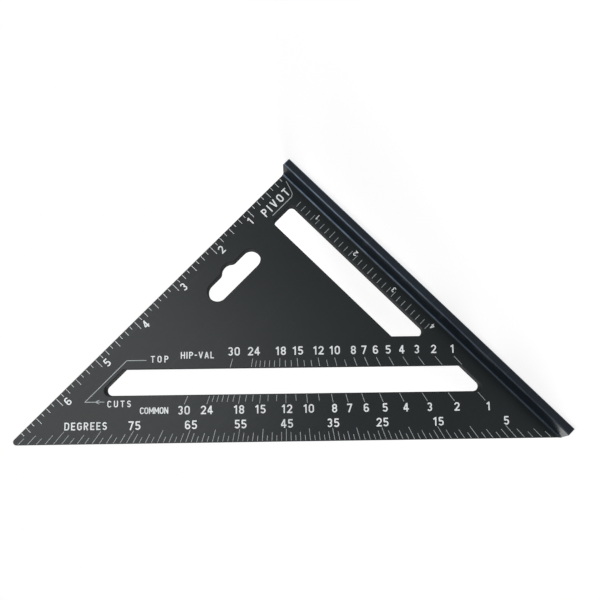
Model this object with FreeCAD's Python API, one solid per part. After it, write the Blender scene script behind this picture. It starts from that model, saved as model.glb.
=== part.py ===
"""Seven-inch rafter square: a flat triangular blade that stands on its T-shaped fence rail,
with the printed rulers, degree arc, rafter scales and legends on its faces.

Frame: millimetres, +Z up. The square stands on the outer face of the fence rail. The blade
lies in the XZ plane with its main marked face towards -Y, and the ruler edge stands upright
on the +X side. The origin is under the middle of the square, on the surface it stands on.
"""
import FreeCAD, Part
import math
import os

Vector = FreeCAD.Vector
ROOT2 = math.sqrt(2.0)
INCH = 25.4

# ---- body ------------------------------------------------------------------------------
LEG = 183.0              # ruler edge, from the inner face of the fence to the sharp tip
BLADE_T = 4.5            # thickness of the blade
BLADE_TIP_R = 1.6        # rounding of the tip of the ruler edge
EDGE_BREAK = 0.3         # chamfer round every free edge of the blade
RAIL_W = 4.0             # thickness of the fence flange
RAIL_STAND = 9.5         # how far the flange stands out from each face of the blade
RAIL_EDGE_R = 0.8        # rounding along the flange's long edges
RAIL_TAPER = 3.0         # how far the flange's corners stand back from its pointed end
RAIL_END_R = 1.0         # rounding of the flange's two ends, at its outer face
RAIL_CORNER_R = 1.0      # rounding of its four corners, seen from the outer face
ROOT_R = 1.0             # fillet between flange and blade, and height of the rail's stub

# ---- openings --------------------------------------------------------------------------
SLOT_INSET = 13.0        # ruler edge to the near ends of both slots
RULER_SLOT_LOW = 7.7     # fence face to the near side of the inner ruler's slot
RULER_SLOT_HIGH = 21.0   # fence face to its far side
RULER_SLOT_END = 49.0    # hypotenuse to its mitred end
SCALE_SLOT_LOW = 22.4    # hypotenuse to the near side of the scale slot
SCALE_SLOT_HIGH = 34.7   # hypotenuse to its far side
SLOT_R = 2.4             # rounding in the sharp and square corners of the slots
BLUNT_R = 0.6            # rounding in their blunt corners
HANG_R = 4.75            # half width of the hanging hole
HANG_INSET = 18.2        # ruler edge to its middle line
HANG_LOW = 41.2          # fence face to the centre of its lower round end
HANG_HIGH = 63.7         # fence face to the centre of its upper round end
LOBE_R = 4.9             # lobe in the side of the hole that faces the ruler edge
LOBE_INSET = 16.3        # ruler edge to the lobe's centre
LOBE_HEIGHT = 52.6       # fence face to the lobe's centre
LOBE_BLEND_R = 3.0       # blend between the lobe and the straight side

# ---- printed marks ---------------------------------------------------------------------
MARK_T = 0.06            # thickness of the printed layer
TICK_W = 0.22            # width of a graduation
LINE_W = 0.34            # width of a leader line
MARK_MARGIN = 0.15       # bare metal between an edge break and a graduation
EDGE_TICKS = (4.5, 3.5, 2.7, 1.8)    # inch, half, quarter and eighth
EDGE_NUMERAL = 3.9
EDGE_NUMERAL_GAP = 1.7   # from the inch graduation to the near side of its numeral
EDGE_NUMERAL_INSET = 5.1 # ruler edge to the middle of the numerals
INNER_TICKS = (3.2, 4.1, 3.2, 3.2)
INNER_NUMERAL = 2.6
INNER_NUMERAL_SHIFT = 1.8            # from each inch graduation, away from the ruler edge
INNER_NUMERAL_BELOW = 3.8            # slot to the middle of the numerals
DEGREE_TICKS = (5.6, 4.0, 2.6)       # every fifth degree, even degrees, odd degrees
DEGREE_ROW = 8.45        # hypotenuse to the middle of the degree numerals
DEGREE_NUMERAL = 4.05
DEGREE_LABELS = (5, 15, 25, 35, 45, 55, 65, 75)
RAFTER_TICKS = (4.0, 3.0)            # rises with a numeral, rises between them
RAFTER_NUMERAL = 4.0
RAFTER_RISES = tuple(range(1, 25)) + (30,)
RAFTER_LABELS = (1, 2, 3, 4, 5, 6, 7, 8, 10, 12, 15, 18, 24, 30)
COMMON_RUN = 12.0        # inches of run to a rise on a common rafter
COMMON_ROW = 15.3        # hypotenuse to the middle of its numerals
COMMON_REACH = 16.9      # hypotenuse to where each numeral meets its ray
HIP_RUN = 12.0 * ROOT2   # inches of run to a rise on a hip or valley rafter
HIP_ROW = 42.7
HIP_REACH = 40.4
LEADER_INSET = 11.1      # ruler edge to the leader between the words of the top cuts
LEADER_HIGH = 38.9       # hypotenuse to its two ends
LEADER_LOW = 19.6
LEADER_START = 17.6      # ruler edge to where it leaves each word
ARROW = 1.8              # length of the arrowhead on the leader
ARROW_INSET = 14.6       # ruler edge to its point
POINTER = ((1.7, 3.5), (2.6, 6.4), (4.0, 10.0), (5.4, 10.9), (18.6, 10.9))
                         # corners of the pivot's line, up from the fence and in from the edge
NUMERAL_SHIFT = 0.35     # numerals of the arc and the rafter scales, past their rays
STROKE = 0.155           # stroke of a character, as a share of its height
LETTER_GAP = 0.16        # gap between characters, as a share of their height

# ---- places worked out from the sizes --------------------------------------------------
DEPTH = LEG / ROOT2                  # pivot corner to the hypotenuse
SEAM = ROOT_R                        # fence face to the joint of rail and blade
PIVOT_X = LEG / 2.0                  # ruler edge, from the middle
EDGE_CLEAR = EDGE_BREAK + MARK_MARGIN
EIGHTH = INCH / 8.0
EDGE_INCHES = int(LEG // INCH)       # last inch of the ruler edge
INNER_FIRST = math.ceil((SLOT_INSET + SLOT_R) / EIGHTH)      # eighths that the slot leaves
INNER_LAST = int(((DEPTH - RULER_SLOT_END) * ROOT2 - RULER_SLOT_LOW - SLOT_R) // EIGHTH)
FRONT, BACK = -1, 1                  # the faces of the blade, as the sign of Y


# ---- outlines --------------------------------------------------------------------------
def spot(up, inward):
    """Point `up` above the fence face and `inward` from the ruler edge."""
    return Vector(PIVOT_X - inward, 0.0, RAIL_W + up)


def across(along, above):
    """Point `along` the hypotenuse from its middle towards the fence, `above` it."""
    depth = DEPTH - above
    return spot((depth - along) / ROOT2, (depth + along) / ROOT2)


def beside(inward, above):
    """Point `inward` from the ruler edge and `above` the hypotenuse."""
    return spot((DEPTH - above) * ROOT2 - inward, inward)


def rounded_wire(corners):
    """Closed wire through (point, radius) corners, each rounded by a tangent arc."""
    edges = []
    count = len(corners)
    starts, ends, middles = [], [], []
    for i, (point, radius) in enumerate(corners):
        back = (corners[i - 1][0] - point).normalize()
        ahead = (corners[(i + 1) % count][0] - point).normalize()
        half = back.getAngle(ahead) / 2.0
        reach = radius / math.tan(half)
        bisector = (back + ahead).normalize()
        starts.append(point + back * reach)
        ends.append(point + ahead * reach)
        middles.append(point + bisector * (radius / math.sin(half) - radius))
    for i, (point, radius) in enumerate(corners):
        if radius > 0.0:
            edges.append(Part.Arc(starts[i], middles[i], ends[i]).toShape())
        edges.append(Part.LineSegment(ends[i], starts[(i + 1) % count]).toShape())
    return Part.Wire(edges)


def slab(wire, y_low, y_high):
    """Solid between two Y planes with the outline of a wire drawn at Y = 0."""
    face = Part.Face(wire)
    face.translate(Vector(0.0, y_low, 0.0))
    return face.extrude(Vector(0.0, y_high - y_low, 0.0))


# ---- body ------------------------------------------------------------------------------
def inner_ruler_slot():
    """Slot along the fence, with one end square and the other on the mitre."""
    end = (DEPTH - RULER_SLOT_END) * ROOT2
    return rounded_wire([
        (spot(RULER_SLOT_LOW, SLOT_INSET), SLOT_R),
        (spot(RULER_SLOT_HIGH, SLOT_INSET), SLOT_R),
        (spot(RULER_SLOT_HIGH, end - RULER_SLOT_HIGH), BLUNT_R),
        (spot(RULER_SLOT_LOW, end - RULER_SLOT_LOW), SLOT_R),
    ])


def scale_slot():
    """Slot along the hypotenuse, with ends parallel to the ruler edge and to the fence."""
    far = (DEPTH - SCALE_SLOT_HIGH) * ROOT2
    near = (DEPTH - SCALE_SLOT_LOW) * ROOT2
    return rounded_wire([
        (spot(far - SLOT_INSET, SLOT_INSET), BLUNT_R),
        (spot(near - SLOT_INSET, SLOT_INSET), SLOT_R),
        (spot(RULER_SLOT_LOW, near - RULER_SLOT_LOW), SLOT_R),
        (spot(RULER_SLOT_LOW, far - RULER_SLOT_LOW), BLUNT_R),
    ])


def hanging_hole():
    """Slot along the ruler edge with a blended lobe in its side nearest that edge."""
    side = HANG_INSET - HANG_R
    blend = side - LOBE_BLEND_R
    reach = LOBE_R + LOBE_BLEND_R
    rise = LOBE_INSET - blend
    run = math.sqrt(reach * reach - rise * rise)
    share = LOBE_R / reach
    turn = math.atan2(rise, run) / 2.0 + math.pi / 4.0

    def blend_mid(sign):
        return spot(LOBE_HEIGHT + sign * (run - LOBE_BLEND_R * math.cos(turn)),
                    blend + LOBE_BLEND_R * math.sin(turn))

    def lobe_end(sign):
        return spot(LOBE_HEIGHT + sign * run * share, LOBE_INSET - rise * share)

    low_end = spot(LOBE_HEIGHT - run, side)
    high_end = spot(LOBE_HEIGHT + run, side)
    lobe_top = spot(LOBE_HEIGHT, LOBE_INSET - LOBE_R)
    far_low = spot(HANG_LOW, HANG_INSET + HANG_R)
    far_high = spot(HANG_HIGH, HANG_INSET + HANG_R)
    near_low = spot(HANG_LOW, side)
    near_high = spot(HANG_HIGH, side)
    return Part.Wire([
        Part.Arc(near_low, spot(HANG_LOW - HANG_R, HANG_INSET), far_low).toShape(),
        Part.LineSegment(far_low, far_high).toShape(),
        Part.Arc(far_high, spot(HANG_HIGH + HANG_R, HANG_INSET), near_high).toShape(),
        Part.LineSegment(near_high, high_end).toShape(),
        Part.Arc(high_end, blend_mid(1), lobe_end(1)).toShape(),
        Part.Arc(lobe_end(1), lobe_top, lobe_end(-1)).toShape(),
        Part.Arc(lobe_end(-1), blend_mid(-1), low_end).toShape(),
        Part.LineSegment(low_end, near_low).toShape(),
    ])


def blade():
    """Flat triangle above the rail, with its three openings and broken edges."""
    half = BLADE_T / 2.0
    outline = rounded_wire([
        (spot(SEAM, 0.0), 0.0),
        (spot(LEG, 0.0), BLADE_TIP_R),
        (spot(SEAM, LEG - SEAM), 0.0),
    ])
    plate = slab(outline, -half, half)
    for wire in (inner_ruler_slot(), scale_slot(), hanging_hole()):
        plate = plate.cut(slab(wire, -half - 1.0, half + 1.0))
    seam_z = spot(SEAM, 0.0).z
    free = []
    for edge in plate.Edges:
        box = edge.BoundBox
        on_face = box.YLength < 1e-6
        on_seam = box.ZMax < seam_z + 1e-6
        if on_face and not on_seam:
            free.append(edge)
    return plate.makeChamfer(EDGE_BREAK, free)


def fence_rail():
    """Flange with root fillets and the stub that carries the blade."""
    half = BLADE_T / 2.0
    wide = half + RAIL_STAND
    edge = RAIL_EDGE_R
    root = ROOT_R * (1.0 - 1.0 / ROOT2)
    corner = edge * (1.0 - 1.0 / ROOT2)
    top = RAIL_W

    def at(y, z):
        return Vector(PIVOT_X, y, z)

    def half_section(side):
        """Edges of one half of the section, from the foot's middle to the stub."""
        return [
            Part.LineSegment(at(0.0, 0.0), at(side * (wide - edge), 0.0)).toShape(),
            Part.Arc(at(side * (wide - edge), 0.0), at(side * (wide - corner), corner),
                     at(side * wide, edge)).toShape(),
            Part.LineSegment(at(side * wide, edge), at(side * wide, top - edge)).toShape(),
            Part.Arc(at(side * wide, top - edge), at(side * (wide - corner), top - corner),
                     at(side * (wide - edge), top)).toShape(),
            Part.LineSegment(at(side * (wide - edge), top),
                             at(side * (half + ROOT_R), top)).toShape(),
            Part.Arc(at(side * (half + ROOT_R), top), at(side * (half + root), top + root),
                     at(side * half, top + ROOT_R)).toShape(),
        ]

    cap = Part.LineSegment(at(-half, top + ROOT_R), at(half, top + ROOT_R)).toShape()
    section = Part.Wire(Part.sortEdges(half_section(1) + [cap] + half_section(-1))[0])
    bar = Part.Face(section).extrude(Vector(-LEG, 0.0, 0.0))
    outline = rounded_wire([
        (spot(-RAIL_W, 0.0), RAIL_END_R),
        (spot(SEAM, 0.0), 0.0),
        (spot(SEAM, LEG - SEAM), 0.0),
        (spot(0.0, LEG), 0.0),
        (spot(-RAIL_W, LEG), RAIL_END_R),
    ])
    heel_x, toe_x = spot(0.0, 0.0).x, spot(0.0, LEG).x
    back_x = toe_x + RAIL_TAPER
    plan = rounded_wire([(Vector(x, y, 0.0), RAIL_CORNER_R) for x, y in (
        (heel_x, -wide), (heel_x, wide), (back_x, wide), (toe_x, half), (toe_x, -half),
        (back_x, -wide))])
    tall = Part.Face(plan).extrude(Vector(0.0, 0.0, RAIL_W + SEAM))
    return bar.common(slab(outline, -wide, wide)).common(tall)


# ---- characters ------------------------------------------------------------------------
# A character is drawn 1 high from bars (x0, y0, x1, y1) and bows (x, y, radius, start, end)
# on the centre lines of its strokes, and the width after it is its own.
LO, HI, MID = STROKE / 2.0, 1.0 - STROKE / 2.0, 0.5
LEFT, RIGHT, BOW = STROKE / 2.0, 0.62 - STROKE / 2.0, 0.31 - STROKE / 2.0
AXIS = 0.31
SMALL = (MID - LO) / 2.0             # bows of the characters with two bows
UPPER, LOWER = HI - SMALL, LO + SMALL

CHARACTERS = {
    "0": (0.62, [(LEFT, LO + BOW, LEFT, HI - BOW), (RIGHT, LO + BOW, RIGHT, HI - BOW)],
          [(AXIS, HI - BOW, BOW, 0, 180), (AXIS, LO + BOW, BOW, 180, 360)]),
    "1": (0.50, [(0.34, 0.0, 0.34, 1.0), (0.08, 0.74, 0.34, 0.92)], []),
    "2": (0.62, [(0.0, LO, 0.62, LO), (LEFT + 0.03, LO, RIGHT - 0.03, HI - BOW - 0.12)],
          [(AXIS, HI - BOW, BOW, -32, 175)]),
    "3": (0.60, [], [(0.27, UPPER, SMALL, -90, 155), (0.27, LOWER, SMALL, -155, 90)]),
    "4": (0.64, [(0.42, 0.0, 0.42, 1.0), (0.02, 0.29, 0.64, 0.29), (0.06, 0.33, 0.40, 0.94)],
          []),
    "5": (0.60, [(0.08, HI, 0.56, HI), (0.12, 0.50, 0.12, HI)],
          [(0.29, 0.33, 0.245, -150, 135)]),
    "6": (0.62, [(LEFT, LO + BOW, LEFT, HI - BOW)],
          [(AXIS, LO + BOW, BOW, 0, 360), (AXIS, HI - BOW, BOW, 30, 180)]),
    "7": (0.60, [(0.0, HI, 0.60, HI), (0.20, 0.0, 0.52, HI)], []),
    "8": (0.60, [], [(0.30, UPPER, SMALL, 0, 360), (0.30, LOWER, SMALL + 0.01, 0, 360)]),
    "A": (0.68, [(0.08, 0.0, 0.34, 0.96), (0.60, 0.0, 0.34, 0.96), (0.16, 0.30, 0.52, 0.30)],
          []),
    "C": (0.60, [(LEFT, LO + BOW, LEFT, HI - BOW)],
          [(AXIS, HI - BOW, BOW, 20, 180), (AXIS, LO + BOW, BOW, 180, 340)]),
    "D": (0.62, [(LEFT, 0.0, LEFT, 1.0), (LEFT, LO, AXIS, LO), (LEFT, HI, AXIS, HI),
                 (RIGHT, LO + BOW, RIGHT, HI - BOW)],
          [(AXIS, HI - BOW, BOW, 0, 90), (AXIS, LO + BOW, BOW, 270, 360)]),
    "E": (0.54, [(LEFT, 0.0, LEFT, 1.0), (LEFT, LO, 0.54, LO), (LEFT, HI, 0.54, HI),
                 (LEFT, MID, 0.48, MID)], []),
    "G": (0.62, [(LEFT, LO + BOW, LEFT, HI - BOW), (RIGHT, LO + BOW, RIGHT, MID),
                 (AXIS + 0.02, MID - 0.02, 0.62, MID - 0.02)],
          [(AXIS, HI - BOW, BOW, 20, 180), (AXIS, LO + BOW, BOW, 180, 360)]),
    "H": (0.62, [(LEFT, 0.0, LEFT, 1.0), (RIGHT, 0.0, RIGHT, 1.0), (LEFT, MID, RIGHT, MID)],
          []),
    "I": (0.18, [(LEFT, 0.0, LEFT, 1.0)], []),
    "L": (0.52, [(LEFT, 0.0, LEFT, 1.0), (LEFT, LO, 0.52, LO)], []),
    "M": (0.74, [(LEFT, 0.0, LEFT, 1.0), (0.655, 0.0, 0.655, 1.0),
                 (LEFT, 0.95, 0.37, 0.30), (0.655, 0.95, 0.37, 0.30)], []),
    "N": (0.62, [(LEFT, 0.0, LEFT, 1.0), (RIGHT, 0.0, RIGHT, 1.0),
                 (LEFT, 0.94, RIGHT, 0.06)], []),
    "O": (0.64, [(LEFT, LO + BOW, LEFT, HI - BOW), (RIGHT, LO + BOW, RIGHT, HI - BOW)],
          [(AXIS, HI - BOW, BOW, 0, 180), (AXIS, LO + BOW, BOW, 180, 360)]),
    "P": (0.58, [(LEFT, 0.0, LEFT, 1.0), (LEFT, HI, 0.30, HI), (LEFT, MID, 0.30, MID)],
          [(0.30, UPPER, SMALL, -90, 90)]),
    "R": (0.60, [(LEFT, 0.0, LEFT, 1.0), (LEFT, HI, 0.30, HI), (LEFT, MID, 0.30, MID),
                 (0.27, MID, 0.50, 0.0)],
          [(0.30, UPPER, SMALL, -90, 90)]),
    "S": (0.58, [], [(0.29, UPPER, SMALL, 20, 270), (0.29, LOWER, SMALL, -160, 90)]),
    "T": (0.60, [(0.0, HI, 0.60, HI), (0.30, 0.0, 0.30, HI)], []),
    "U": (0.62, [(LEFT, LO + BOW, LEFT, 1.0), (RIGHT, LO + BOW, RIGHT, 1.0)],
          [(AXIS, LO + BOW, BOW, 180, 360)]),
    "V": (0.64, [(0.07, 1.0, 0.32, 0.05), (0.57, 1.0, 0.32, 0.05)], []),
    "-": (0.40, [(0.02, MID, 0.38, MID)], []),
}


def bar_solid(start, end, width, height):
    """Flat bar along a line in the XY plane, `width` wide and `height` thick."""
    run = end - start
    side = Vector(-run.y, run.x, 0.0).normalize() * (width / 2.0)
    wire = Part.makePolygon([start - side, end - side, end + side, start + side, start - side])
    return Part.Face(wire).extrude(Vector(0.0, 0.0, height))


def bow_solid(centre, radius, start, end, width, height):
    """Flat piece of a ring in the XY plane, from angle `start` to `end` in degrees."""
    outer, inner = radius + width / 2.0, radius - width / 2.0
    if end - start >= 360:
        ring = Part.makeCylinder(outer, height, centre)
        return ring.cut(Part.makeCylinder(inner, height, centre))

    def at(r, degrees):
        turn = math.radians(degrees)
        return centre + Vector(r * math.cos(turn), r * math.sin(turn), 0.0)

    mid = (start + end) / 2.0
    wire = Part.Wire([
        Part.Arc(at(outer, start), at(outer, mid), at(outer, end)).toShape(),
        Part.LineSegment(at(outer, end), at(inner, end)).toShape(),
        Part.Arc(at(inner, end), at(inner, mid), at(inner, start)).toShape(),
        Part.LineSegment(at(inner, start), at(outer, start)).toShape(),
    ])
    return Part.Face(wire).extrude(Vector(0.0, 0.0, height))


def fused(pieces):
    """One solid from the overlapping strokes of a mark."""
    if len(pieces) == 1:
        return pieces[0]
    return pieces[0].multiFuse(pieces[1:]).removeSplitter()


def character(letter, size):
    """Solid of one character, `size` high, standing on the X axis at X = 0."""
    width, bars, bows = CHARACTERS[letter]
    stroke = STROKE * size
    pieces = [bar_solid(Vector(x0, y0, 0.0) * size, Vector(x1, y1, 0.0) * size, stroke, MARK_T)
              for x0, y0, x1, y1 in bars]
    pieces += [bow_solid(Vector(x, y, 0.0) * size, r * size, a, b, stroke, MARK_T)
               for x, y, r, a, b in bows]
    return fused(pieces)


def face_placement(point, reading, face):
    """Placement of a drawing on a face of the blade, with its X axis along `reading`."""
    out = Vector(0.0, face, 0.0)
    upright = out.cross(reading)
    base = Vector(point.x, face * BLADE_T / 2.0, point.z)
    return FreeCAD.Placement(base, FreeCAD.Rotation(reading, upright, out, "XYZ"))


def text(words, size, point, reading, face=FRONT, spacing=LETTER_GAP):
    """Solids of a line of characters, centred on a point of the face."""
    gap = spacing * size
    widths = [CHARACTERS[letter][0] * size for letter in words]
    start = -(sum(widths) + gap * (len(words) - 1)) / 2.0
    placement = face_placement(point, reading, face)
    solids = []
    for letter, width in zip(words, widths):
        solid = character(letter, size)
        solid.translate(Vector(start, -size / 2.0, 0.0))
        solid.Placement = placement.multiply(solid.Placement)
        solids.append(solid)
        start += width + gap
    return solids


def line(points, width, face=FRONT):
    """Solid of an open line through points of the face, with its corners closed."""
    placement = face_placement(Vector(0.0, 0.0, 0.0), Vector(-face, 0.0, 0.0), face)
    flat = [Vector(-face * point.x, point.z, 0.0) for point in points]
    pieces = [bar_solid(a, b, width, MARK_T) for a, b in zip(flat, flat[1:])]
    pieces += [Part.makeCylinder(width / 2.0, MARK_T, corner) for corner in flat[1:-1]]
    solid = fused(pieces)
    solid.Placement = placement.multiply(solid.Placement)
    return solid


# ---- directions on the blade -----------------------------------------------------------
UP = Vector(0.0, 0.0, 1.0)
DOWN = Vector(0.0, 0.0, -1.0)
TO_EDGE = Vector(1.0, 0.0, 0.0)
ALONG = Vector(-1.0, 0.0, -1.0).normalize()      # along the hypotenuse, towards the fence


def ray(slope, above):
    """Point on the ray from the pivot with this slope to the fence, above the hypotenuse."""
    inward = (DEPTH - above) * ROOT2 / (1.0 + slope)
    return spot(slope * inward, inward)


def ruler_length(eighth, lengths):
    """Length of the graduation at a count of eighths of an inch."""
    for step, length in zip((8, 4, 2, 1), lengths):
        if eighth % step == 0:
            return length


# ---- marks -----------------------------------------------------------------------------
def edge_ticks(face):
    """Eighth-inch graduations of the ruler edge."""
    marks = []
    for eighth in range(1, 8 * EDGE_INCHES):
        up = eighth * EIGHTH
        length = ruler_length(eighth, EDGE_TICKS)
        marks.append(line([spot(up, EDGE_CLEAR), spot(up, EDGE_CLEAR + length)], TICK_W, face))
    return marks


def edge_numerals(face):
    """Inch numerals of the ruler edge, with their heads to the edge."""
    marks = []
    reading = DOWN if face == FRONT else UP
    for inch in range(1, EDGE_INCHES):
        width = CHARACTERS[str(inch)][0] * EDGE_NUMERAL
        side = 1 if inch == 1 else -1
        up = inch * INCH + side * (TICK_W / 2.0 + EDGE_NUMERAL_GAP + width / 2.0)
        marks += text(str(inch), EDGE_NUMERAL, spot(up, EDGE_NUMERAL_INSET), reading, face)
    return marks


def inner_ticks():
    """Eighth-inch graduations between the fence and its slot."""
    top = RULER_SLOT_LOW - EDGE_CLEAR
    marks = []
    for eighth in range(INNER_FIRST, INNER_LAST + 1):
        inward = eighth * EIGHTH
        length = ruler_length(eighth, INNER_TICKS)
        marks.append(line([spot(top, inward), spot(top - length, inward)], TICK_W))
    return marks


def inner_numerals():
    """Inch numerals of the inner ruler, with their heads to the slot."""
    up = RULER_SLOT_LOW - INNER_NUMERAL_BELOW
    marks = []
    for inch in range(1, INNER_LAST // 8 + 1):
        point = spot(up, inch * INCH + INNER_NUMERAL_SHIFT)
        marks += text(str(inch), INNER_NUMERAL, point, TO_EDGE)
    return marks


def degree_ticks(face):
    """One graduation for each degree, on rays from the pivot to the hypotenuse."""
    marks = []
    for degree in range(1, 90):
        kind = 0 if degree % 5 == 0 else 1 + degree % 2
        slope = math.tan(math.radians(degree))
        end = ray(slope, EDGE_CLEAR + DEGREE_TICKS[kind])
        marks.append(line([ray(slope, EDGE_CLEAR), end], TICK_W, face))
    return marks


def degree_numerals(face):
    """Numerals of the degree arc, each over the ray of its degree."""
    marks = []
    reading = ALONG if face == FRONT else -ALONG
    for degree in DEGREE_LABELS:
        slope = math.tan(math.radians(degree))
        tick_end = ray(slope, EDGE_CLEAR + DEGREE_TICKS[0])
        along = (tick_end - across(0.0, 0.0)).dot(ALONG)
        point = across(along + NUMERAL_SHIFT, DEGREE_ROW)
        marks += text(str(degree), DEGREE_NUMERAL, point, reading, face)
    return marks


def rafter_ticks(run, edge, direction):
    """Graduations of a rafter scale, from the edge of the scale slot outwards."""
    marks = []
    start = edge + direction * EDGE_CLEAR
    for rise in RAFTER_RISES:
        length = RAFTER_TICKS[0] if rise in RAFTER_LABELS else RAFTER_TICKS[1]
        slope = rise / run
        marks.append(line([ray(slope, start), ray(slope, start + direction * length)], TICK_W))
    return marks


def rafter_numerals(run, row, reach):
    """Numerals of a rafter scale in a row, each where its ray reaches them."""
    marks = []
    for rise in RAFTER_LABELS:
        along = (ray(rise / run, reach) - across(0.0, 0.0)).dot(ALONG)
        marks += text(str(rise), RAFTER_NUMERAL, across(along + NUMERAL_SHIFT, row), ALONG)
    return marks


def cuts_leader():
    """Line that joins the two words for the top cuts, with its arrowhead."""
    route = [beside(LEADER_START, LEADER_HIGH), beside(LEADER_INSET, LEADER_HIGH),
             beside(LEADER_INSET, LEADER_LOW), beside(LEADER_START, LEADER_LOW)]
    tip = beside(ARROW_INSET, LEADER_LOW)
    barb = beside(ARROW_INSET + ARROW / ROOT2, LEADER_LOW)
    off = (TO_EDGE - UP) * (ARROW / (2.0 * ROOT2))
    barbs = [barb + off, barb - off]
    strokes = [line(route, LINE_W)] + [line([tip, barb], LINE_W) for barb in barbs]
    return [fused(strokes)]


def pivot_pointer():
    """Line from the pivot corner that bends round and runs along the foot of its word."""
    return [line([spot(up, inward) for up, inward in POINTER], LINE_W)]


# Words of the blade: text, height, middle, reading direction, face and spacing.
LEGENDS = {
    "degrees_legend": ("DEGREES", 3.6, beside(19.4, DEGREE_ROW), ALONG, FRONT, 0.24),
    "common_legend": ("COMMON", 3.05, beside(37.0, COMMON_ROW), ALONG, FRONT, 0.07),
    "hip_valley_legend": ("HIP-VAL", 3.2, beside(33.0, HIP_ROW - 1.6), ALONG, FRONT, 0.21),
    "top_legend": ("TOP", 3.15, beside(21.6, LEADER_HIGH + 0.5), ALONG, FRONT, 0.40),
    "cuts_legend": ("CUTS", 3.1, beside(23.1, LEADER_LOW - 1.0), ALONG, FRONT, 0.38),
    "pivot_legend": ("PIVOT", 4.2, spot(12.9, 7.3), DOWN, FRONT, 0.34),
}

MARKS = {
    "ruler_edge_ticks": edge_ticks(FRONT),
    "ruler_edge_numerals": edge_numerals(FRONT),
    "inner_ruler_ticks": inner_ticks(),
    "inner_ruler_numerals": inner_numerals(),
    "degree_ticks": degree_ticks(FRONT),
    "degree_numerals": degree_numerals(FRONT),
    "common_rafter_ticks": rafter_ticks(COMMON_RUN, SCALE_SLOT_LOW, -1),
    "common_rafter_numerals": rafter_numerals(COMMON_RUN, COMMON_ROW, COMMON_REACH),
    "hip_valley_ticks": rafter_ticks(HIP_RUN, SCALE_SLOT_HIGH, 1),
    "hip_valley_numerals": rafter_numerals(HIP_RUN, HIP_ROW, HIP_REACH),
    "top_cuts_leader": cuts_leader(),
    "pivot_pointer": pivot_pointer(),
    "back_ruler_ticks": edge_ticks(BACK),
    "back_ruler_numerals": edge_numerals(BACK),
    "back_degree_ticks": degree_ticks(BACK),
    "back_degree_numerals": degree_numerals(BACK),
}
for name, legend in LEGENDS.items():
    MARKS[name] = text(*legend)

os.makedirs("parts", exist_ok=True)
blade().exportStep("parts/blade.step")
fence_rail().exportStep("parts/fence_rail.step")
for name, solids in MARKS.items():
    Part.makeCompound(solids).exportStep("parts/" + name + ".step")
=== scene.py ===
"""Finishes, stage, light and camera of a seven-inch rafter square.

Metres, +Z up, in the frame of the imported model: the square stands on the outer face of its
fence rail, its blade lies in the XZ plane, and the main marked face looks towards -Y.
"""

import logging
import math
from dataclasses import dataclass, field
from enum import Enum
from typing import Any, Dict, List, Tuple, Union

import bmesh
import bpy
from mathutils import Euler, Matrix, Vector


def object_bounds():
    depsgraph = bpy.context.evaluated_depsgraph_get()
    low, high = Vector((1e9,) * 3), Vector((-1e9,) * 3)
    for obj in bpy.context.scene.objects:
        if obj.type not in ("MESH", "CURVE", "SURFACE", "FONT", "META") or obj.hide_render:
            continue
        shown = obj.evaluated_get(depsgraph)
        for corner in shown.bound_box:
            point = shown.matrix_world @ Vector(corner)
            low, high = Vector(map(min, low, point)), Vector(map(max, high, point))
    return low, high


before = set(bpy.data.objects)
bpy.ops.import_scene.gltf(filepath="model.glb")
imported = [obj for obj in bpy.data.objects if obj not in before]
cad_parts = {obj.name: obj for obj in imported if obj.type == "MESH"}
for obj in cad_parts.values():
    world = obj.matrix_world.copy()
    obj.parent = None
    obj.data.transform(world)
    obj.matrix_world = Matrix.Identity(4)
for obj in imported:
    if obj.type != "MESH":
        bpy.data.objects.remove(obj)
CAD_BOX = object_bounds()

LOG = logging.getLogger("rafter_square")

WHITE = (1.0, 1.0, 1.0)
SENSOR = 36.0            # width of the camera's sensor in millimetres
NEAREST = 0.005          # nearest distance that the camera sees, in metres

Colour = Tuple[float, float, float]


def shade(red: int, green: int, blue: int) -> Colour:
    """Turn a display colour into the linear colour that a shader takes.

    Args:
        red: Red, 0 to 255.
        green: Green, 0 to 255.
        blue: Blue, 0 to 255.

    Returns:
        The three linear values, 0 to 1.
    """
    def linear(level: int) -> float:
        """Undo the display curve of one channel."""
        part = level / 255.0
        return part / 12.92 if part <= 0.04045 else ((part + 0.055) / 1.055) ** 2.4

    return linear(red), linear(green), linear(blue)


# ---- shader arithmetic -----------------------------------------------------------------
class Reading:
    """A number that varies over a surface, and takes part in Python expressions."""

    def __init__(self, shader: "Shader", socket: bpy.types.NodeSocket) -> None:
        """Keep the shader that owns the nodes, and the socket with the value."""
        self.shader = shader
        self.socket = socket

    def __add__(self, other: "Number") -> "Reading":
        """Sum with a value or a number."""
        return self.shader.maths("ADD", self, other)

    __radd__ = __add__

    def __sub__(self, other: "Number") -> "Reading":
        """Difference from a value or a number."""
        return self.shader.maths("SUBTRACT", self, other)

    def __rsub__(self, other: "Number") -> "Reading":
        """A number less this value."""
        return self.shader.maths("SUBTRACT", other, self)

    def __mul__(self, other: "Number") -> "Reading":
        """Product with a value or a number."""
        return self.shader.maths("MULTIPLY", self, other)

    __rmul__ = __mul__

    def __abs__(self) -> "Reading":
        """Size without the sign."""
        return self.shader.maths("ABSOLUTE", self)

    def __pow__(self, power: float) -> "Reading":
        """Power of the value."""
        return self.shader.maths("POWER", self, power)

    def between(self, low: float, high: float) -> "Reading":
        """Ramp that is 0 at `low` and below, and 1 at `high` and above.

        Args:
            low: Value where the ramp starts.
            high: Value where it ends. It may be the lower of the two.

        Returns:
            The ramp.
        """
        node = self.shader.node("ShaderNodeMapRange", {"interpolation_type": "SMOOTHSTEP"},
                                {0: self, 1: low, 2: high, 3: 0.0, 4: 1.0})
        return Reading(self.shader, node.outputs[0])


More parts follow.
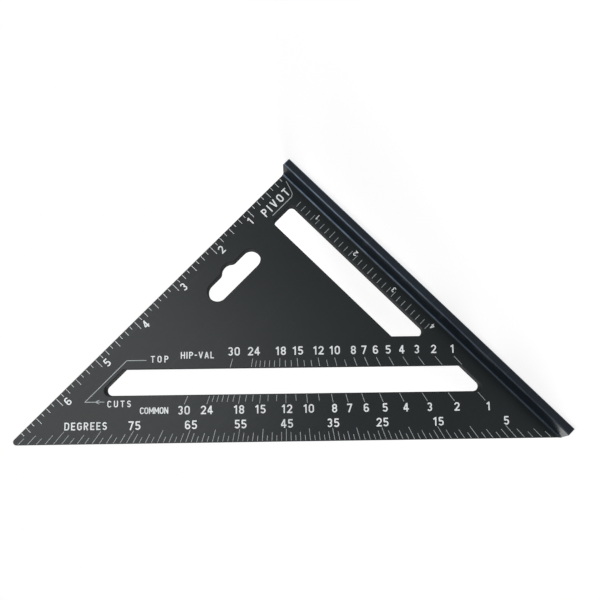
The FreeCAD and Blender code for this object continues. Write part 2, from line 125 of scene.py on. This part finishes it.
Number = Union[Reading, float]
Given = Union[Reading, bpy.types.NodeSocket, float, Tuple[float, ...]]


class Shader:
    """Node tree of one material or world."""

    def __init__(self, owner: Union[bpy.types.Material, bpy.types.World]) -> None:
        """Empty the owner's node tree, ready for new nodes."""
        owner.use_nodes = True
        self.tree = owner.node_tree
        self.tree.nodes.clear()

    def node(self, kind: str, settings: Dict[str, Any],
             inputs: Dict[Union[int, str], Given]) -> bpy.types.Node:
        """Add a node.

        Args:
            kind: Node type.
            settings: Properties, set before the sockets are filled.
            inputs: Values or links of the sockets, by name or number.

        Returns:
            The new node.
        """
        node = self.tree.nodes.new(kind)
        for name, value in settings.items():
            setattr(node, name, value)
        for key, value in inputs.items():
            if isinstance(value, Reading):
                value = value.socket
            if isinstance(value, bpy.types.NodeSocket):
                self.tree.links.new(value, node.inputs[key])
            elif isinstance(value, tuple) and len(value) == 3 and node.inputs[key].type == "RGBA":
                node.inputs[key].default_value = (*value, 1.0)
            else:
                node.inputs[key].default_value = value
        return node

    def maths(self, operation: str, *values: Number) -> Reading:
        """Apply one Math operation.

        Args:
            operation: Name of the operation.
            values: Its operands.

        Returns:
            The result.
        """
        node = self.node("ShaderNodeMath", {"operation": operation}, dict(enumerate(values)))
        return Reading(self, node.outputs[0])

    def place(self) -> bpy.types.NodeSocket:
        """Place on the object, in metres."""
        return self.node("ShaderNodeTexCoord", {}, {}).outputs["Object"]

    def stretched(self, place: bpy.types.NodeSocket, stretch: Tuple[float, ...],
                  turn: Tuple[float, ...]) -> bpy.types.NodeSocket:
        """Place that a pattern reads through, stretched and turned.

        Args:
            place: The plain place.
            stretch: Scale along each axis.
            turn: Turn about each axis, in radians.

        Returns:
            The mapped place.
        """
        node = self.node("ShaderNodeMapping", {}, {"Vector": place, "Scale": stretch,
                                                   "Rotation": turn})
        return node.outputs[0]

    def cloud(self, place: bpy.types.NodeSocket, size: float, detail: float = 2.0,
              rough: float = 0.5) -> Reading:
        """Noise whose features are about `size` metres across.

        Args:
            place: Where the noise is read.
            size: Size of its features.
            detail: Number of finer layers.
            rough: Strength of the finer layers.

        Returns:
            The noise, about 0.5 on average.
        """
        node = self.node("ShaderNodeTexNoise", {"noise_dimensions": "3D"},
                         {"Vector": place, "Scale": 1.0 / size, "Detail": detail,
                          "Roughness": rough})
        return Reading(self, node.outputs[0])

    def blend(self, share: Number, low: Given, high: Given) -> bpy.types.NodeSocket:
        """Colour between two colours.

        Args:
            share: 0 for `low` and 1 for `high`.
            low: First colour.
            high: Second colour.

        Returns:
            The mixed colour.
        """
        node = self.node("ShaderNodeMix", {"data_type": "RGBA"}, {0: share, 6: low, 7: high})
        return node.outputs[2]

    def part_of(self, vector: bpy.types.NodeSocket, axis: int) -> Reading:
        """One part of a vector: 0, 1 or 2 for X, Y or Z."""
        return Reading(self, self.node("ShaderNodeSeparateXYZ", {}, {0: vector}).outputs[axis])

    def facing(self) -> Reading:
        """How far the surface faces along Y: 1 on the flat faces, 0 on the cut sides."""
        normal = self.node("ShaderNodeTexCoord", {}, {}).outputs["Normal"]
        return abs(self.part_of(normal, 1))

    def bump(self, height: Reading, depth: float, strength: float) -> bpy.types.NodeSocket:
        """Normal of a surface with fine relief.

        Args:
            height: Relief, 0 to 1.
            depth: Depth of the relief in metres.
            strength: Share of the relief that shows.

        Returns:
            The bumped normal.
        """
        node = self.node("ShaderNodeBump", {}, {"Strength": strength, "Distance": depth,
                                                "Height": height})
        return node.outputs[0]

    def surface(self, sockets: Dict[str, Given]) -> None:
        """Finish the tree with a Principled shader that takes these sockets."""
        shader = self.node("ShaderNodeBsdfPrincipled", {}, sockets)
        self.node("ShaderNodeOutputMaterial", {}, {"Surface": shader.outputs[0]})


# ---- finishes --------------------------------------------------------------------------
BROAD_SIZE = 0.045       # broad changes of the coat's tone, in metres
MOTTLE_SIZE = 0.0022     # mottle of the coat
HIGHLIGHT_BREAK_SIZE = 0.006        # breaks in the painted edge highlight
SCUFF_SIZE = 0.0007      # width of a scuff
SCUFF_STRETCH = (1.0, 1.0, 0.03)    # scuffs are long and thin
SCUFF_TURN = (0.0, 0.7, 0.0)        # lean of the scuffs, in radians
PATCH_SIZE = 0.012       # thin patches in the ink
SPECKLE_SIZE = 0.00022   # print of the screen's mesh
INK_RELIEF = 0.00002     # depth of that print


class Slot(Enum):
    """Material slots of the record that the finishes belong to."""

    BLADE = "blade"
    FENCE = "fence_rail"
    PRINT = "print"


@dataclass(frozen=True)
class SatinCoat:
    """Dark satin coat over sand-finished aluminium.

    Attributes:
        name: Name of the material.
        light: Coat where it is thinnest.
        dark: Coat where it is thickest.
        scuff_and_highlight: Lighter colour painted along the edges as a highlight, which the
            scuffs also take a little of as wear.
        roughness: Mean roughness of the flat faces.
        gloss: Specular level.
        grain: Size of the fine relief in metres.
        relief: Depth of the fine relief in metres.
        edge: Share of the painted highlight colour along the edges.
        highlight_fade: Where along X the painted edge highlight starts to grow and where it is
            full, in metres.
        sawn: Roughness added on the cut sides that run across the thickness.
    """

    name: str
    light: Colour
    dark: Colour
    scuff_and_highlight: Colour
    roughness: float
    gloss: float
    grain: float
    relief: float
    edge: float
    highlight_fade: Tuple[float, float]
    sawn: float

    def material(self) -> bpy.types.Material:
        """Build the material: mottled coat, sanded grain, fine scuffs, and edges lightened as a
        painted highlight.
        """
        material = bpy.data.materials.new(self.name)
        shader = Shader(material)
        place = shader.place()
        broad = shader.cloud(place, BROAD_SIZE, 3.0)
        mottle = shader.cloud(place, MOTTLE_SIZE, 2.0, 0.6)
        grain = shader.cloud(place, self.grain, 2.0, 0.7)
        scuffs = shader.cloud(shader.stretched(place, SCUFF_STRETCH, SCUFF_TURN),
                              SCUFF_SIZE, 1.0).between(0.66, 0.78)
        # Painted highlight: the edge lightening is a fifth as strong at low X and full at high X,
        # towards the pivot.
        highlight_ramp = shader.part_of(place, 0).between(*self.highlight_fade) * 0.8 + 0.2
        facing = shader.facing()
        side = facing.between(0.45, 0.15)
        turn = 2.0 * facing * (1.0 - facing * facing) ** 0.5
        edge = turn.between(0.55, 0.95) * highlight_ramp
        edge = edge * (shader.cloud(place, HIGHLIGHT_BREAK_SIZE).between(0.2, 0.7) * 0.6 + 0.4)
        coat = shader.blend(broad.between(0.25, 0.75) * 0.7 + mottle * 0.3, self.dark, self.light)
        # The edges take the light colour as a painted highlight; the scuffs take a little of it
        # as wear.
        colour = shader.blend(edge * self.edge + scuffs * 0.06, coat, self.scuff_and_highlight)
        shader.surface({
            "Base Color": colour,
            "Roughness": self.roughness + mottle * 0.10 - 0.05 - edge * 0.12 - scuffs * 0.06
                         + side * self.sawn,
            "Specular IOR Level": self.gloss,
            "Normal": shader.bump(grain + scuffs * -0.3, self.relief, 0.5),
        })
        return material


@dataclass(frozen=True)
class PrintedInk:
    """White screen-printed ink, matte and a little uneven.

    Attributes:
        name: Name of the material.
        full: Ink where it is thick.
        thin: Ink where the coat shows through.
        roughness: Mean roughness.
    """

    name: str
    full: Colour
    thin: Colour
    roughness: float

    def material(self) -> bpy.types.Material:
        """Build the material: mesh-like speckle, thin patches and an uneven skin."""
        material = bpy.data.materials.new(self.name)
        shader = Shader(material)
        place = shader.place()
        patches = shader.cloud(place, PATCH_SIZE, 2.0).between(0.30, 0.62)
        speckle = shader.cloud(place, SPECKLE_SIZE, 2.0, 0.6)
        cover = patches * 0.55 + speckle.between(0.25, 0.60) * 0.45
        shader.surface({
            "Base Color": shader.blend(cover, self.thin, self.full),
            "Roughness": self.roughness + speckle * 0.16 - 0.08,
            "Specular IOR Level": 0.3,
            "Normal": shader.bump(speckle, INK_RELIEF, 0.4),
        })
        return material


# ---- parts of the square ---------------------------------------------------------------
@dataclass
class Part:
    """A part that keeps the shape of its nodes and gets a finish.

    Attributes:
        nodes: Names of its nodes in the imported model.
        slot: Material slot of the record.
        finish: Its material.
    """

    nodes: Tuple[str, ...]
    slot: Slot
    finish: bpy.types.Material

    def dress(self) -> None:
        """Put the finish in the material slots of every node."""
        for name in self.nodes:
            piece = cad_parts[name]
            piece.data.materials.clear()
            piece.data.materials.append(self.finish)
            LOG.info("dressed %s, slot %s, in %s", name, self.slot.value, self.finish.name)


# ---- stage, light and camera -----------------------------------------------------------
@dataclass
class Stage:
    """White floor and surroundings.

    Attributes:
        half: Half of the floor's side in metres.
        pale: Colour of the floor.
        glow: Share of plain white in what the camera sees of the floor by the square.
        white: Strength of that white.
        fade: Distances from the square over which the floor turns to plain white.
        level: Light from all round.
    """

    half: float = 4.0
    pale: Colour = (0.86, 0.86, 0.86)
    glow: float = 0.35
    white: float = 1.80
    fade: Tuple[float, float] = (0.25, 0.75)
    level: float = 0.34

    def seen(self, shader: Shader) -> Reading:
        """1 for the rays of the camera, and for those seen in metal or glass."""
        path = shader.node("ShaderNodeLightPath", {}, {}).outputs
        rays = [Reading(shader, path[name])
                for name in ("Is Camera Ray", "Is Glossy Ray", "Is Transmission Ray")]
        total = rays[0] + rays[1] + rays[2]
        return shader.maths("MINIMUM", total, 1.0)

    def floor(self) -> None:
        """Lay the floor, white to the camera but for the square's shadow."""
        mesh = bmesh.new()
        bmesh.ops.create_grid(mesh, x_segments=1, y_segments=1, size=self.half)
        data = bpy.data.meshes.new("floor")
        mesh.to_mesh(data)
        mesh.free()
        floor = bpy.data.objects.new("floor", data)
        bpy.context.scene.collection.objects.link(floor)
        material = bpy.data.materials.new("pale_floor")
        shader = Shader(material)
        lit = shader.node("ShaderNodeBsdfDiffuse", {}, {"Color": self.pale})
        glow, white = (shader.node("ShaderNodeEmission", {}, {"Color": WHITE, "Strength": level})
                       for level in (self.white, 1.0))
        seen = self.seen(shader)
        near = shader.node("ShaderNodeMixShader", {}, {0: seen * self.glow,
                                                       1: lit.outputs[0], 2: glow.outputs[0]})
        reach = shader.node("ShaderNodeVectorMath", {"operation": "LENGTH"}, {0: shader.place()})
        away = Reading(shader, reach.outputs["Value"]).between(*self.fade)
        mixed = shader.node("ShaderNodeMixShader", {}, {0: seen * away,
                                                        1: near.outputs[0], 2: white.outputs[0]})
        shader.node("ShaderNodeOutputMaterial", {}, {"Surface": mixed.outputs[0]})
        data.materials.append(material)

    def surroundings(self) -> None:
        """Light the square softly from all round, and show plain white behind it."""
        world = bpy.data.worlds.new("studio")
        bpy.context.scene.world = world
        shader = Shader(world)
        soft, white = (shader.node("ShaderNodeBackground", {}, {"Color": WHITE,
                                                                "Strength": level})
                       for level in (self.level, 1.0))
        mixed = shader.node("ShaderNodeMixShader", {}, {0: self.seen(shader),
                                                        1: soft.outputs[0], 2: white.outputs[0]})
        shader.node("ShaderNodeOutputWorld", {}, {"Surface": mixed.outputs[0]})

    def build(self) -> None:
        """Lay the floor and set the surroundings."""
        self.floor()
        self.surroundings()


@dataclass
class SoftBox:
    """Square studio lamp.

    Attributes:
        name: Name of the lamp.
        place: Where it hangs, in metres.
        side: Length of its side.
        power: Its power in watts.
    """

    name: str
    place: Vector
    side: float
    power: float

    def hang(self, target: Vector) -> None:
        """Hang the lamp so that it faces `target`."""
        data = bpy.data.lights.new(self.name, "AREA")
        data.shape = "SQUARE"
        data.size = self.side
        data.energy = self.power
        lamp = bpy.data.objects.new(self.name, data)
        lamp.location = self.place
        lamp.rotation_euler = (target - self.place).to_track_quat("-Z", "Y").to_euler()
        bpy.context.scene.collection.objects.link(lamp)


@dataclass
class Viewpoint:
    """Camera in front of the marked face, a little to the side and turned over its view.

    Attributes:
        place: Where it stands, in metres.
        turns: Its turns about X, Y and Z, in degrees.
        lens: Focal length in millimetres, for a 36 mm sensor.
        shift: Shift of the picture, as a share of its side.
    """

    place: Vector = field(default_factory=lambda: Vector((0.015015, -0.202502, 0.076027)))
    turns: Tuple[float, float, float] = (-85.44945, 44.23509, -179.15086)
    lens: float = 25.4112
    shift: Tuple[float, float] = (0.005, 0.1)

    def set_up(self) -> None:
        """Make the camera and hand it to the scene."""
        data = bpy.data.cameras.new("viewpoint")
        data.sensor_width = SENSOR
        data.lens = self.lens
        data.shift_x, data.shift_y = self.shift
        data.clip_start = NEAREST
        camera = bpy.data.objects.new("viewpoint", data)
        camera.location = self.place
        camera.rotation_euler = Euler([math.radians(turn) for turn in self.turns], "XYZ")
        bpy.context.scene.collection.objects.link(camera)
        bpy.context.scene.camera = camera


# ---- the whole square ------------------------------------------------------------------
def parts() -> List[Part]:
    """Name every part of the square with its finish.

    Returns:
        The parts, the metal first and then the printed scales.
    """
    # The blade's light edge colour is a faint painted highlight along its chamfers.
    coat = SatinCoat(
        name="satin_black_coat", light=shade(19, 25, 27), dark=shade(14, 19, 21),
        scuff_and_highlight=shade(66, 74, 78), roughness=0.37, gloss=0.18, grain=0.00035, relief=0.00003,
        edge=0.14, highlight_fade=(-0.09, 0.09), sawn=0.45).material()
    # The rail has the blade's coat; its lighter, bluer tones are a painted reflection, and its
    # strong light edges a painted highlight.
    rail = SatinCoat(
        name="black_coat_painted_blue_sheen", light=shade(24, 31, 38), dark=shade(18, 24, 31),
        scuff_and_highlight=shade(104, 120, 138), roughness=0.37, gloss=0.13, grain=0.00030,
        relief=0.00003, edge=0.80, highlight_fade=(-0.06, 0.07), sawn=0.0).material()
    ink = PrintedInk(name="white_screen_ink", full=shade(212, 215, 216),
                     thin=shade(176, 180, 182), roughness=0.55).material()
    fine = PrintedInk(name="fine_screen_ink", full=shade(158, 163, 165),
                      thin=shade(128, 134, 137), roughness=0.55).material()
    return [
        Part(("blade",), Slot.BLADE, coat),
        Part(("fence_rail",), Slot.FENCE, rail),
        Part(("ruler_edge_ticks", "ruler_edge_numerals"), Slot.PRINT, ink),
        Part(("inner_ruler_numerals",), Slot.PRINT, ink),
        Part(("degree_numerals", "degrees_legend"), Slot.PRINT, ink),
        Part(("common_rafter_numerals", "common_legend"), Slot.PRINT, ink),
        Part(("hip_valley_numerals", "hip_valley_legend"), Slot.PRINT, ink),
        Part(("top_legend", "cuts_legend", "pivot_legend"), Slot.PRINT, ink),
        Part(("back_ruler_numerals", "back_degree_numerals"), Slot.PRINT, ink),
        Part(("inner_ruler_ticks", "back_ruler_ticks"), Slot.PRINT, fine),
        Part(("degree_ticks", "back_degree_ticks"), Slot.PRINT, fine),
        Part(("common_rafter_ticks", "hip_valley_ticks"), Slot.PRINT, fine),
        Part(("top_cuts_leader", "pivot_pointer"), Slot.PRINT, fine),
    ]


def main() -> None:
    """Set the camera, dress the square, set the stage, and aim the lamps at the middle of the
    model.
    """
    logging.basicConfig(level=logging.INFO, format="%(name)s: %(message)s")
    middle = (CAD_BOX[0] + CAD_BOX[1]) / 2.0
    Viewpoint().set_up()
    for part in parts():
        part.dress()
    Stage().build()
    for box in (SoftBox(name="key", place=Vector((0.55, -1.30, 0.56)), side=1.3, power=21.5),
                SoftBox(name="rear", place=Vector((-0.5, 1.4, 1.0)), side=1.1, power=14.0)):
        box.hang(middle)
    bpy.context.scene.view_settings.view_transform = "Standard"


if __name__ == "__main__":
    main()
